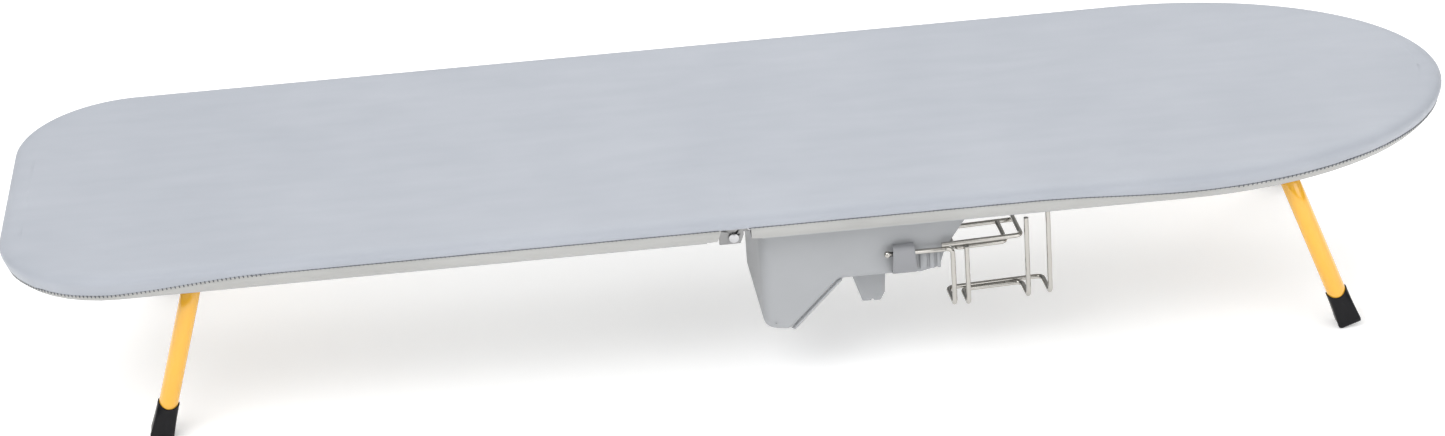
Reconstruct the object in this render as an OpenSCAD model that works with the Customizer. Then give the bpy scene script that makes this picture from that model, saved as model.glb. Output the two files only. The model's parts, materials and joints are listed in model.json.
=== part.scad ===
// Folding table-top ironing board: two padded halves joined by a double-pin fold,
// two folding leg frames, a hanging iron holster and a swinging wire rack.
// Millimetres. +X towards the nose, +Y to the back, +Z up. The origin lies on the
// table plane, under the middle of the board.

/* [Board] */
// Length of the covered board
board_l = 1200; // [1150:10:1250]
// Width of the covered board
board_w = 362; // [350:2:380]
// Radius of the two tail corners
tail_corner_r = 100; // [80:5:120]
// Length of the elliptical nose
nose_l = 244; // [220:2:260]
// Height of the board's lower edge above the table
edge_z = 142; // [135:1:150]
// Where the fold lies along the board
fold_x = -9.5; // [-12:0.5:-7]

/* [Frame] */
// Width of the steel rim's section
rim_w = 8; // [6:0.5:9]
// Height of the steel rim's section
rim_h = 16; // [16:0.5:18]
// Thickness of the steel mesh deck
mesh_t = 1.5; // [1:0.1:2]
// Thickness of the cross braces under the deck
brace_t = 3; // [2:0.5:3]

/* [Cover] */
// Thickness of the foam pad
pad_t = 5; // [4:0.5:5]
// Thickness of the cover cloth with its lining
cloth_t = 1.5; // [1:0.1:1.5]
// Thickness of the padded side band
band_t = 8.8; // [8:0.2:8.8]

/* [Fold] */
// Distance between the two fold pins
pin_gap = 28; // [28:0.5:30]
// Radius of a fold pin
pin_r = 2.5; // [2:0.1:2.6]
// Thickness of the hinge and link plates
plate_t = 2.5; // [2:0.1:2.5]
// Radius of the tie rod between the two links
tie_r = 3; // [2:0.2:3]

/* [Legs] */
// Distance of each leg pivot from the middle of the board
leg_x = 441; // [430:1:445]
// Distance of a leg tube from the board's centre line
leg_y = 140; // [134:1:140]
// Radius of the leg tube
leg_r = 8; // [7:0.5:8]
// Wall thickness of the leg tube
leg_wall = 1.2; // [1:0.1:1.5]
// Bend radius of the leg frame's two corners
leg_bend_r = 36; // [30:1:40]
// Lean of the tail leg frame away from upright
tail_splay = 17; // [15:1:20]
// Lean of the nose leg frame away from upright
nose_splay = 20; // [16:1:22]
// Width of a rubber foot at its square end
foot_w = 20; // [19:0.5:21]
// Height of a rubber foot
foot_h = 31; // [26:1:34]

/* [Holster] */
// Front face of the holster, from the board's centre line
holster_y = -156; // [-157:0.5:-155]
// Depth of the holster from front to back
holster_depth = 122; // [110:1:124]
// Wall thickness of the holster
wall_t = 2.5; // [2:0.1:3]
// Drop of the deep pocket below the board's edge
pocket_drop = 91; // [85:1:95]
// Drop of the shallow part below the board's edge
shelf_drop = 49.5; // [46:0.5:52]

/* [Rack] */
// Radius of the rack's wire
wire_r = 2; // [1.8:0.1:2]
// Drop of the rack's hinge wire below the board's edge
rack_drop = 28.2; // [27:0.2:29]
// Turn of the rack's loops about the upright, from the line of the hinge wire
rack_skew = 4; // [2:0.5:5]
// Height of the rack's hanging loops
loop_drop = 51; // [45:1:54]

/* [Hidden] */
$fn = 48;
big = 2000;
running_gap = 0.05;

// Heights of the layers of the board
rim_z = edge_z + 1;
mesh_z = rim_z + rim_h;
pad_z = mesh_z + mesh_t;
cloth_z = pad_z + pad_t;
top_z = cloth_z + cloth_t;
brace_z = mesh_z - brace_t;

// How far each layer's outline lies inside the covered board's outline
rim_inset = band_t + 0.2;
rim_inner = rim_inset + rim_w;
pad_inset = cloth_t;

// The fold: pins, plates and the reach that clears the other half as it turns
pin_z = edge_z + 12;
plate_r = 4.8;
hinge_reach = 24;
fold_reach = pin_gap / 2 - 0.3;
plate_y = board_w / 2 - rim_inner;
link_y = plate_y + 0.5;
tie_drop = 10;
pin_head_r = 4.4;
pin_head_t = 1.8;
rail_w = 7;
// Half the width that the cloth, pad and deck keep between the two link plates
fold_half_w = plate_y - plate_t - 1;
fold_notch_x = 6;

// The legs
leg_z = edge_z + 5;
sole_cut = 1;
leg_brace_w = 36;
brace_w = 20;
bracket_y = 88;
bracket_w = 12;
stop_y = 58;

// Cross braces of the two halves, by the distance of their middles along the board
tail_braces = [-230];
nose_braces = [40, 150];

// Outline of the holster's front wall, from its rounded deep corner to its open end
holster_x = 11;
holster_skew = 5.5;
holster_flange_z = 11.5;
corner_r = 10;
pocket_end_x = 32;
slope_end_x = pocket_end_x + pocket_drop - shelf_drop;
shelf_end_x = 139;
mouth = [[155.5, -46], [159.5, -33.5], [165.5, -23.3], [178, -5.7], [180, holster_flange_z]];
screw_x = [40, 150];
flange_in = 15;
flange_out = 20;
screw_r = 2;

// The rack, in its own frame: x along the hinge wire's line, y to the back
rack_y = holster_y - 6.5;
rack_z = edge_z - rack_drop;
rack_x = 160;
wire_bend = 5;
ball_r = 3;
sleeve_x = 116.5;
sleeve_l = 20;

TAIL = -1;
NOSE = 1;
FRONT = -1;
BACK = 1;

// ---------- outlines ----------

function arc(c, rx, ry, a0, a1, n) =
    [for (i = [0 : n]) let (a = a0 + (a1 - a0) * i / n) c + [rx * cos(a), ry * sin(a)]];

// Outline of the board, pulled in by d
function outline(d) =
    let (hl = board_l / 2 - d, hw = board_w / 2 - d, r = tail_corner_r - d)
    concat(
        arc([board_l / 2 - nose_l, 0], nose_l - d, hw, -90, 90, 40),
        arc([r - hl, hw - r], r, r, 90, 180, 10),
        arc([r - hl, r - hw], r, r, 180, 270, 10));

// A flat layer of the board between two heights and two places along it
module layer(d, z0, z1, x0, x1) {
    translate([0, 0, z0]) linear_extrude(z1 - z0) intersection() {
        polygon(outline(d));
        translate([x0, -board_w]) square([x1 - x0, 2 * board_w]);
    }
}

// The same layer for one half, from the fold outwards, starting at reach past the half's pin
module half_layer(half, d, z0, z1, reach) {
    start = pin_x(half) - half * reach;
    x0 = half == TAIL ? -board_l : start;
    x1 = half == TAIL ? start : board_l;
    layer(d, z0, z1, x0, x1);
}

// Room for the link plates to swing up through the layers above them
module link_room(half) {
    far_x = pin_x(half) + half * fold_notch_x;
    near_x = pin_x(half) - half * pin_gap;
    for (side = [FRONT, BACK])
        translate([(far_x + near_x) / 2, side * (fold_half_w + 50), mesh_z])
            cube([abs(far_x - near_x), 100, 60], center = true);
}

function pin_x(half) = fold_x + half * pin_gap / 2;
// How far a layer may reach past its pin, given the height of its top
function reach_at(z) = sqrt(fold_reach * fold_reach - (z - pin_z) * (z - pin_z)) - 0.2;

// ---------- frame of one half ----------

module rim(half) {
    color("dimgray") difference() {
        half_layer(half, rim_inset, rim_z, mesh_z, -plate_r - 3.2);
        half_layer(half, rim_inner, rim_z - 1, mesh_z + 1, pin_gap);
    }
}

module fold_rail(half) {
    color("dimgray")
        translate([pin_x(half) - half * 5, 0, (mesh_z + rim_z + 3) / 2])
            cube([rail_w, 2 * (plate_y - plate_t), rim_h - 3], center = true);
}

module mesh_deck(half) {
    color("silver") difference() {
        half_layer(half, rim_inset + 1, mesh_z, pad_z, reach_at(pad_z));
        link_room(half);
    }
}

module brace(x, w) {
    color("dimgray") layer(rim_inner, brace_z, mesh_z, x - w / 2, x + w / 2);
}

// A brace that the holster's four screws pass into
module drilled_brace(x) {
    color("dimgray") difference() {
        layer(rim_inner, brace_z, mesh_z, x - brace_w / 2, x + brace_w / 2);
        for (y = screw_ys())
            translate([x, y, brace_z - 1]) cylinder(h = brace_t + 2, r = screw_r);
    }
}

// ---------- pad and cover of one half ----------

module pad(half) {
    color("beige") difference() {
        half_layer(half, pad_inset, pad_z, cloth_z, reach_at(cloth_z));
        link_room(half);
    }
}

module cover_top(half) {
    color("lightsteelblue") difference() {
        half_layer(half, 0, cloth_z, top_z, reach_at(top_z));
        link_room(half);
    }
}

module cover_band(half) {
    color("lightgray") difference() {
        half_layer(half, 0, edge_z, pad_z, 0);
        half_layer(half, band_t, edge_z - 1, pad_z + 1, pin_gap);
    }
}

// ---------- the fold ----------

// Moves to a half's pin, with +x away from the fold
module at_pin(half) {
    translate([pin_x(half), 0, pin_z]) mirror([half == TAIL ? 1 : 0, 0, 0]) children();
}

// A flat plate standing in the XZ plane, from y outwards to the given side
module upright_plate(side, y, t) {
    translate([0, side == FRONT ? -y : y + t, 0]) rotate([90, 0, 0]) linear_extrude(t) children();
}

module hinge_plate(half, side) {
    color("slategray") at_pin(half) upright_plate(side, plate_y - plate_t, plate_t) difference() {
        union() {
            circle(plate_r);
            translate([0, -plate_r]) square([hinge_reach, 2 * plate_r]);
        }
        circle(pin_r);
    }
}

// The pin is riveted into its hinge plate and turns in the link plate
module fold_pin(half, side) {
    inner_y = plate_y - plate_t;
    outer_y = link_y + plate_t;
    color("silver") at_pin(half) {
        upright_plate(side, inner_y, outer_y + 0.3 - inner_y) circle(pin_r);
        upright_plate(side, outer_y + 0.3, pin_head_t) circle(pin_head_r);
    }
}

// A link: two ears on the pins and a lower lobe that carries the tie rod
module link_plate(side) {
    color("slategray") translate([fold_x, 0, pin_z]) upright_plate(side, link_y, plate_t) difference() {
        union() {
            for (half = [TAIL, NOSE]) translate([half * pin_gap / 2, 0]) circle(plate_r);
            translate([-pin_gap / 2, -plate_r]) square([pin_gap, 2 * plate_r - 1]);
            polygon([[-12, 0], [-12, -15.5], [5, -15.5], [8, -8], [8, 0]]);
        }
        for (half = [TAIL, NOSE])
            translate([half * pin_gap / 2, 0]) circle(pin_r + running_gap);
        translate([0, -tie_drop]) circle(tie_r);
    }
}

module link_tie_rod() {
    head_y = link_y + plate_t;
    color("white") translate([fold_x, 0, pin_z - tie_drop]) rotate([90, 0, 0]) {
        cylinder(h = 2 * head_y, r = tie_r, center = true);
        for (side = [FRONT, BACK])
            translate([0, 0, side * (head_y + 0.75)]) cylinder(h = 1.5, r = tie_r + 1, center = true);
    }
}

// ---------- legs ----------

function splay(half) = half == TAIL ? tail_splay : nose_splay;
// Length from the pivot to the foot's end, so that the foot's inner edge reaches the table
function leg_len(half) =
    (leg_z + sole_cut - foot_w / 2 * sin(splay(half))) / cos(splay(half));

// Moves to a half's leg pivot, with +x away from the fold
module at_leg_pivot(half) {
    translate([half * leg_x, 0, leg_z]) mirror([half == TAIL ? 1 : 0, 0, 0]) children();
}

// The frame's centre line as solid rod of radius r: a crossbar, two bends and two legs
module leg_rod(r, length) {
    rotate([90, 0, 0]) cylinder(h = 2 * (leg_y - leg_bend_r), r = r, center = true);
    for (side = [0, 1]) mirror([0, side, 0]) {
        translate([0, leg_y - leg_bend_r, -leg_bend_r])
            rotate([90, 0, 90]) rotate_extrude(angle = 90) translate([leg_bend_r, 0]) circle(r);
        translate([0, leg_y, -length]) cylinder(h = length - leg_bend_r, r = r);
    }
}

module leg_frame(half) {
    length = leg_len(half) - 5;
    color("gold") at_leg_pivot(half) rotate([0, -splay(half), 0]) difference() {
        leg_rod(leg_r, length);
        leg_rod(leg_r - leg_wall, length + 1);
    }
}

module foot(half, side) {
    length = leg_len(half);
    color("black") difference() {
        at_leg_pivot(half) rotate([0, -splay(half), 0]) translate([0, side * leg_y, -length])
            difference() {
                hull() {
                    translate([-foot_w / 2, -foot_w / 2, 0]) cube([foot_w, foot_w, 2]);
                    translate([0, 0, foot_h - 1]) cylinder(h = 1, r = leg_r + 1.2, $fn = 32);
                }
                translate([0, 0, 5]) cylinder(h = foot_h, r = leg_r);
            }
        translate([0, 0, -big / 2]) cube(big, center = true);
    }
}

// Two lugs welded to the crossbar, which meet the brace when the leg is open
module leg_stops(half) {
    color("gold") at_leg_pivot(half) difference() {
        for (side = [FRONT, BACK])
            translate([4, side * stop_y - 3, -2]) cube([12, 6, brace_z - leg_z + 1.8]);
        rotate([90, 0, 0]) cylinder(h = 2 * leg_y, r = leg_r, center = true);
    }
}

module leg_bracket(half, side) {
    color("slategray") at_leg_pivot(half) translate([0, side * bracket_y, 0]) difference() {
        union() {
            rotate([90, 0, 0]) cylinder(h = bracket_w, r = leg_r + 2.5, center = true);
            translate([-leg_r - 2.5, -bracket_w / 2, 0])
                cube([2 * leg_r + 5, bracket_w, brace_z - leg_z]);
        }
        rotate([90, 0, 0]) cylinder(h = bracket_w + 2, r = leg_r + running_gap, center = true);
        translate([0, 0, brace_z - leg_z + 10]) cube([60, bracket_w + 2, 20], center = true);
    }
}

// ---------- holster ----------

function screw_ys() = [holster_y + flange_in / 2 + 1, holster_y + holster_depth + flange_out / 2];

// Front wall's outline, heights measured from the board's edge
function wall_outline() = concat(
    arc([holster_x + corner_r, corner_r - pocket_drop], corner_r, corner_r, 180, 270, 6),
    [[pocket_end_x, -pocket_drop], [slope_end_x, -shelf_drop], [shelf_end_x, -shelf_drop]],
    mouth,
    [[holster_x, holster_flange_z]]);

// The floor's section: under the pocket, up the slope and along the shallow part
function floor_section(t) =
    let (bevel = t * (sqrt(2) - 1))
    [[holster_x + corner_r, -pocket_drop], [pocket_end_x, -pocket_drop],
     [slope_end_x, -shelf_drop], [shelf_end_x, -shelf_drop],
     [shelf_end_x, t - shelf_drop], [slope_end_x - bevel, t - shelf_drop],
     [pocket_end_x - bevel, t - pocket_drop], [holster_x + corner_r, t - pocket_drop]];

module at_edge(y) { translate([0, y, edge_z]) rotate([90, 0, 0]) children(); }

module holster_tub() {
    back_y = holster_y + holster_depth;
    deck_z = edge_z + holster_flange_z;
    color("darkgray") {
        difference() {
            union() {
                at_edge(holster_y + wall_t) linear_extrude(wall_t) polygon(wall_outline());
                at_edge(back_y) linear_extrude(wall_t) polygon(wall_outline());
                at_edge(back_y - wall_t) linear_extrude(holster_depth - 2 * wall_t)
                    polygon(floor_section(wall_t));
                translate([0, 0, edge_z - pocket_drop + corner_r])
                    linear_extrude(pocket_drop - corner_r + holster_flange_z)
                        polygon([[holster_x, holster_y], [holster_x + wall_t, holster_y],
                                 [holster_x + wall_t - holster_skew, back_y],
                                 [holster_x - holster_skew, back_y]]);
                translate([holster_x, holster_y, deck_z])
                    cube([169, flange_in, wall_t]);
                translate([holster_x, back_y - wall_t, deck_z])
                    cube([169, flange_out + wall_t, wall_t]);
            }
            for (x = screw_x, y = screw_ys())
                translate([x, y, deck_z - 1]) cylinder(h = wall_t + 2, r = screw_r + 0.1);
        }
        // Rounded lower corner between the end wall and the floor
        at_edge(back_y - wall_t) linear_extrude(holster_depth - 2 * wall_t)
            translate([holster_x + corner_r, corner_r - pocket_drop]) intersection() {
                difference() {
                    circle(corner_r);
                    circle(corner_r - wall_t);
                }
                translate([-corner_r, -corner_r]) square(corner_r);
            }
    }
}

// Raised lip along the sloping edge of the front wall
module holster_lip() {
    lip_w = 4;
    color("lightgray") at_edge(holster_y + wall_t + 1) linear_extrude(2)
        polygon([[pocket_end_x + 0.2, -pocket_drop], [pocket_end_x + lip_w * 1.6, -pocket_drop + 1],
                 [slope_end_x + lip_w * 0.9, -shelf_drop - 0.2], [slope_end_x + 0.2, -shelf_drop - 0.2]]);
}

// Upright ribs on the front wall beside the rack's sleeve
module holster_ribs() {
    rib_h = 16;
    color("lightgray") for (rib = [[139.5, 6], [147.5, 4], [153.5, 3]])
        at_edge(holster_y) linear_extrude(1.4)
            translate([rib[0], -rib_h - 31]) square([rib[1], rib_h]);
}

module holster_cord_hook() {
    hook_y = -118;
    color("darkgray") at_edge(hook_y) linear_extrude(wall_t) difference() {
        polygon([[82, -shelf_drop], [94.5, -89.5], [109.5, -90], [113.2, -83], [115.5, -shelf_drop]]);
        translate([102, -91]) square([1.6, 2.4]);
    }
}

module holster_screws() {
    head_h = 2.5;
    color("silver") for (x = screw_x, y = screw_ys())
        translate([x, y, edge_z + holster_flange_z]) {
            cylinder(h = wall_t + brace_t, r = screw_r - 0.05);
            translate([0, 0, -head_h]) cylinder(h = head_h, r = 3.6);
        }
}

// Clip on the front wall that the rack's hinge wire turns in
module rack_sleeve() {
    front = rack_y - 4.2;
    color("gray") translate([sleeve_x, 0, edge_z]) rotate([90, 0, 90]) linear_extrude(sleeve_l)
        difference() {
            polygon([[holster_y, -21.5], [front + 1.5, -21.5], [front, -23.5], [front, -33.5],
                     [holster_y - 6, -48.5], [holster_y, -48.5], [holster_y, -45.5],
                     [holster_y - 3.4, -45], [rack_y + 3, -34], [holster_y, -34]]);
            translate([rack_y, -rack_drop]) circle(wire_r + running_gap);
        }
}

// ---------- rack ----------

// Moves to the rack's own frame, turned by the skew
module at_rack() { translate([rack_x, rack_y, rack_z]) rotate([0, 0, rack_skew]) children(); }

function unit(v) = v / norm(v);

// A quarter bend at a corner, from direction a into direction b
module quarter_bend(corner, a, b) {
    centre = corner + wire_bend * (b - a);
    n = cross(-b, a);
    multmatrix([[-b[0], a[0], n[0], centre[0]],
                [-b[1], a[1], n[1], centre[1]],
                [-b[2], a[2], n[2], centre[2]]])
        rotate_extrude(angle = 90) translate([wire_bend, 0]) circle(wire_r);
}

// Round wire through a list of points, each run along an axis, with bent corners
module wire(path) {
    last = len(path) - 2;
    for (i = [0 : last]) {
        way = unit(path[i + 1] - path[i]);
        start = path[i] + (i == 0 ? 0 : wire_bend) * way;
        length = norm(path[i + 1] - start) - (i == last ? 0 : wire_bend);
        translate(start) rotate([0, acos(way[2]), atan2(way[1], way[0])])
            cylinder(h = length, r = wire_r);
    }
    for (i = [1 : last])
        quarter_bend(path[i], unit(path[i] - path[i - 1]), unit(path[i + 1] - path[i]));
}

// Straight wire that turns in the sleeve, with a ball on its free end
module rack_hinge_wire() {
    reach = rack_x - sleeve_x + 3.3;
    profile = concat(arc([0, 0], ball_r, ball_r, -90, acos(wire_r / ball_r), 8), [[wire_r, reach], [0, reach]]);
    color("gainsboro") translate([sleeve_x - 3.3, rack_y, rack_z]) rotate([0, 90, 0])
        rotate_extrude() polygon(profile);
}

// First upright, back rail and last upright, in one length of wire
module rack_outer_loop() {
    color("gainsboro") at_rack() wire([
        [0.2, 0, 0], [6, 0, 0], [6, 0, -loop_drop], [6, 31, -loop_drop],
        [85, 31, -loop_drop], [85, 0, -loop_drop], [85, 0, 24]]);
}

module rack_inner_loop() {
    color("gainsboro") at_rack() wire([
        [17.5, 0, 0], [17.5, 0, -loop_drop - 1], [17.5, 26.8, -loop_drop - 1],
        [67, 26.8, -loop_drop - 1], [67, 0, -loop_drop - 1], [67, 0, 19]]);
}

module rack_shelf_wire() {
    color("gainsboro") at_rack() wire([
        [66, 42, -2], [8, 42, -2], [8, 4.2, -2], [51, 4.2, -2], [51, 39.9, -2]]);
}

module rack_front_rail() {
    color("gainsboro") at_rack() wire([[-3, 0, 4.2], [62.8, 0, 4.2], [62.8, 46, 4.2]]);
}

// ---------- nodes ----------

rim(TAIL);  // tail_rim
fold_rail(TAIL);  // tail_fold_rail
mesh_deck(TAIL);  // tail_mesh
brace(-leg_x, leg_brace_w);  // tail_leg_brace
brace(tail_braces[0], brace_w);  // tail_middle_brace
pad(TAIL);  // tail_pad
cover_top(TAIL);  // tail_cover_top
cover_band(TAIL);  // tail_cover_band
hinge_plate(TAIL, FRONT);  // tail_hinge_plate_front
hinge_plate(TAIL, BACK);  // tail_hinge_plate_back
fold_pin(TAIL, FRONT);  // tail_fold_pin_front
fold_pin(TAIL, BACK);  // tail_fold_pin_back
leg_bracket(TAIL, FRONT);  // tail_leg_bracket_front
leg_bracket(TAIL, BACK);  // tail_leg_bracket_back
leg_frame(TAIL);  // tail_leg_frame
leg_stops(TAIL);  // tail_leg_stops
foot(TAIL, FRONT);  // tail_foot_front
foot(TAIL, BACK);  // tail_foot_back
link_plate(FRONT);  // link_plate_front
link_plate(BACK);  // link_plate_back
link_tie_rod();
rim(NOSE);  // nose_rim
fold_rail(NOSE);  // nose_fold_rail
mesh_deck(NOSE);  // nose_mesh
brace(leg_x, leg_brace_w);  // nose_leg_brace
drilled_brace(nose_braces[0]);  // nose_holster_brace_inner
drilled_brace(nose_braces[1]);  // nose_holster_brace_outer
pad(NOSE);  // nose_pad
cover_top(NOSE);  // nose_cover_top
cover_band(NOSE);  // nose_cover_band
hinge_plate(NOSE, FRONT);  // nose_hinge_plate_front
hinge_plate(NOSE, BACK);  // nose_hinge_plate_back
fold_pin(NOSE, FRONT);  // nose_fold_pin_front
fold_pin(NOSE, BACK);  // nose_fold_pin_back
leg_bracket(NOSE, FRONT);  // nose_leg_bracket_front
leg_bracket(NOSE, BACK);  // nose_leg_bracket_back
leg_frame(NOSE);  // nose_leg_frame
leg_stops(NOSE);  // nose_leg_stops
foot(NOSE, FRONT);  // nose_foot_front
foot(NOSE, BACK);  // nose_foot_back
holster_tub();
holster_lip();
holster_ribs();
holster_cord_hook();
holster_screws();
rack_sleeve();
rack_hinge_wire();
rack_outer_loop();
rack_inner_loop();
rack_shelf_wire();
rack_front_rail();
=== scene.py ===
"""Looks of the folding ironing board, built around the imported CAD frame. Lengths here are in millimetres
and turn into metres by MM."""

import json
import math

import bmesh
import bpy
from mathutils import Matrix, Vector, noise


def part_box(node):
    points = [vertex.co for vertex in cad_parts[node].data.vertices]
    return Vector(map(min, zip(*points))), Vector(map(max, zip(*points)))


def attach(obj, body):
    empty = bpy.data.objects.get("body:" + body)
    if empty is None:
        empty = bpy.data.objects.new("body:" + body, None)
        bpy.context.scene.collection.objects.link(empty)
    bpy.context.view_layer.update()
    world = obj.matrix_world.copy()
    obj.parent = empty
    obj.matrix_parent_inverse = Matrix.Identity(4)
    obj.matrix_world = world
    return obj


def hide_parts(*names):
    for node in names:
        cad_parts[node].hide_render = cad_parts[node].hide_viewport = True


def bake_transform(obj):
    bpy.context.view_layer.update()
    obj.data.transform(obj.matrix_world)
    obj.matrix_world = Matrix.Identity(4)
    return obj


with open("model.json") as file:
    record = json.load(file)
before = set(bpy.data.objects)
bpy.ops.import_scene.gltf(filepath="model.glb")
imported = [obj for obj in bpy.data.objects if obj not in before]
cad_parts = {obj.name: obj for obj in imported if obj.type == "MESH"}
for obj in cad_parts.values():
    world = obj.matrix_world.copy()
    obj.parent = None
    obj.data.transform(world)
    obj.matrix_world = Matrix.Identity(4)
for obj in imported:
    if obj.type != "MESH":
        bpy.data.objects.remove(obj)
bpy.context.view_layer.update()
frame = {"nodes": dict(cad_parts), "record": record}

MM = 0.001
FRONT, BACK = -1, 1

# ---------------------------------------------------------------- sizes read from the frame


def mm_box(node):
    """A node's lowest and highest corners, in millimetres."""
    low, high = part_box(node)
    return low / MM, high / MM


tail_low, tail_high = mm_box("tail_cover_band")
nose_low, nose_high = mm_box("nose_cover_band")
EDGE_Z = tail_low.z
TOP_Z = mm_box("tail_cover_top")[1].z
HALF_W = tail_high.y
HALF_L = nose_high.x
TAIL_PIN_X, NOSE_PIN_X = tail_high.x, nose_low.x
FOLD_X = (TAIL_PIN_X + NOSE_PIN_X) / 2
CORNER_R = 100
NOSE_L = 244
RIM_INSET = 9
# Near the fold, the pad and deck keep between the two link plates
FOLD_REACH = 25.5
FOLD_HALF_W = 159.5
LEG_X, LEG_Y = 441, 140
LEG_SPLAY = {"tail": 17, "nose": 20}
FOOT_H = 31
HOLSTER_DEPTH = 122

# ---------------------------------------------------------------- small helpers


def link(obj):
    bpy.context.scene.collection.objects.link(obj)
    return obj


def mesh_object(name, verts, faces, material, smooth=True):
    """A mesh from points in millimetres."""
    mesh = bpy.data.meshes.new(name)
    mesh.from_pydata([Vector(v) * MM for v in verts], [], faces)
    mesh.update()
    for polygon in mesh.polygons:
        polygon.use_smooth = smooth
    mesh.materials.append(material)
    return link(bpy.data.objects.new(name, mesh))


def strip_faces(rows, columns, wrap=False):
    """Quads of a grid stored row by row."""
    faces = []
    last = columns if wrap else columns - 1
    for i in range(rows - 1):
        for j in range(last):
            k = (j + 1) % columns
            faces.append((i * columns + j, i * columns + k, (i + 1) * columns + k, (i + 1) * columns + j))
    return faces


def solidify(obj, thickness, offset=-1.0):
    mod = obj.modifiers.new("thickness", "SOLIDIFY")
    mod.thickness = thickness * MM
    mod.offset = offset


def apply_modifiers(obj):
    """Replaces the mesh by the one its modifiers give."""
    graph = bpy.context.evaluated_depsgraph_get()
    graph.update()
    mesh = bpy.data.meshes.new_from_object(obj.evaluated_get(graph))
    obj.modifiers.clear()
    obj.data = mesh


def tube(name, path, radius, material, sides=12, closed=False):
    """A round tube along points in millimetres, as a mesh."""
    points = [Vector(p) for p in path]
    count = len(points)
    rings = []
    normal = None
    for i, p in enumerate(points):
        ahead = points[(i + 1) % count] if closed else points[min(i + 1, count - 1)]
        behind = points[i - 1] if (closed or i) else points[0]
        way = (ahead - behind).normalized()
        if normal is None:
            normal = way.orthogonal().normalized()
        normal = (normal - way * normal.dot(way)).normalized()
        side = way.cross(normal)
        rings.append([p + radius * (math.cos(a) * normal + math.sin(a) * side)
                      for a in (2 * math.pi * k / sides for k in range(sides))])
    verts = [v for ring in rings for v in ring]
    faces = strip_faces(count, sides, wrap=True)
    if not closed:
        faces.append(tuple(reversed(range(sides))))
        faces.append(tuple((count - 1) * sides + k for k in range(sides)))
    return mesh_object(name, verts, faces, material)


def ripple(x, y, z, seed=0.0):
    """Smooth noise from -1 to 1."""
    return noise.noise(Vector((x, y, z + seed)))


# ---------------------------------------------------------------- materials


class Nodes:
    """A material's node tree with short ways to add to it."""

    def __init__(self, name, color, rough, metal=0.0):
        self.material = bpy.data.materials.new(name)
        self.material.use_nodes = True
        self.tree = self.material.node_tree
        self.shader = self.tree.nodes["Principled BSDF"]
        self.shader.inputs["Base Color"].default_value = (*color, 1)
        self.shader.inputs["Roughness"].default_value = rough
        self.shader.inputs["Metallic"].default_value = metal
        self.coords = self.add("ShaderNodeTexCoord")

    def add(self, kind, **settings):
        node = self.tree.nodes.new(kind)
        for key, value in settings.items():
            if key in node.inputs:
                node.inputs[key].default_value = value
            else:
                setattr(node, key, value)
        return node

    def join(self, a, b):
        self.tree.links.new(a, b)

    def set(self, name, value):
        self.shader.inputs[name].default_value = value

    def noise(self, scale, detail=3.0, stretch=None):
        node = self.add("ShaderNodeTexNoise", Scale=scale, Detail=detail)
        self.place(node, stretch)
        return node.outputs["Fac"]

    def wave(self, scale, direction, distortion=0.0):
        node = self.add("ShaderNodeTexWave", Scale=scale, Distortion=distortion)
        node.bands_direction = direction
        self.place(node, None)
        return node.outputs["Fac"]

    def place(self, node, stretch):
        if stretch:
            mapping = self.add("ShaderNodeMapping", Scale=stretch)
            self.join(self.coords.outputs["Object"], mapping.inputs["Vector"])
            self.join(mapping.outputs["Vector"], node.inputs["Vector"])
        else:
            self.join(self.coords.outputs["Object"], node.inputs["Vector"])

    def tint(self, factor, dark, light, low=0.3, high=0.7):
        """Colours the surface between two colours by a texture."""
        ramp = self.add("ShaderNodeValToRGB")
        ramp.color_ramp.elements[0].position = low
        ramp.color_ramp.elements[1].position = high
        ramp.color_ramp.elements[0].color = (*dark, 1)
        ramp.color_ramp.elements[1].color = (*light, 1)
        self.join(factor, ramp.inputs["Fac"])
        self.join(ramp.outputs["Color"], self.shader.inputs["Base Color"])

    def roughen(self, factor, low, high):
        spread = self.add("ShaderNodeMapRange")
        spread.inputs["To Min"].default_value = low
        spread.inputs["To Max"].default_value = high
        self.join(factor, spread.inputs["Value"])
        self.join(spread.outputs["Result"], self.shader.inputs["Roughness"])

    def math(self, operation, a, b):
        node = self.add("ShaderNodeMath", operation=operation)
        for value, socket in ((a, node.inputs[0]), (b, node.inputs[1])):
            if isinstance(value, (int, float)):
                socket.default_value = value
            else:
                self.join(value, socket)
        return node.outputs[0]

    def bump(self, height, strength, distance):
        node = self.add("ShaderNodeBump", Strength=strength, Distance=distance * MM)
        self.join(height, node.inputs["Height"])
        self.join(node.outputs["Normal"], self.shader.inputs["Normal"])


def cloth_material(name, dark, light, rough, sheen):
    """Plain-woven cloth: two sets of threads, soft mottling and a faint sheen."""
    n = Nodes(name, light, rough)
    warp = n.wave(520, "X", 0.6)
    weft = n.wave(520, "Y", 0.6)
    upright = n.wave(520, "Z", 0.6)
    weave = n.math("ADD", n.math("MULTIPLY", warp, weft), n.math("MULTIPLY", upright, 0.35))
    mottle = n.noise(9, 5)
    slub = n.noise(60, 2, (0.25, 1.0, 1.0))
    mix = n.math("ADD", n.math("MULTIPLY", mottle, 0.6), n.math("MULTIPLY", slub, 0.4))
    n.tint(mix, dark, light)
    n.bump(n.math("ADD", weave, n.math("MULTIPLY", n.noise(240, 2), 0.8)), 0.25, 0.25)
    n.set("Sheen Weight", sheen)
    n.set("Sheen Roughness", 0.4)
    n.set("Specular IOR Level", 0.3)
    return n.material


def painted(name, color, rough, peel=0.06, coat=0.0):
    """Enamel or powder coat: slight orange peel and faint uneven gloss."""
    n = Nodes(name, color, rough)
    dark = tuple(c * 0.93 for c in color)
    n.tint(n.noise(14, 3), dark, color)
    n.roughen(n.noise(40, 3), rough * 0.85, rough * 1.2)
    n.bump(n.noise(420, 2), peel, 0.2)
    n.set("Coat Weight", coat)
    n.set("Coat Roughness", 0.08)
    return n.material


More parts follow.
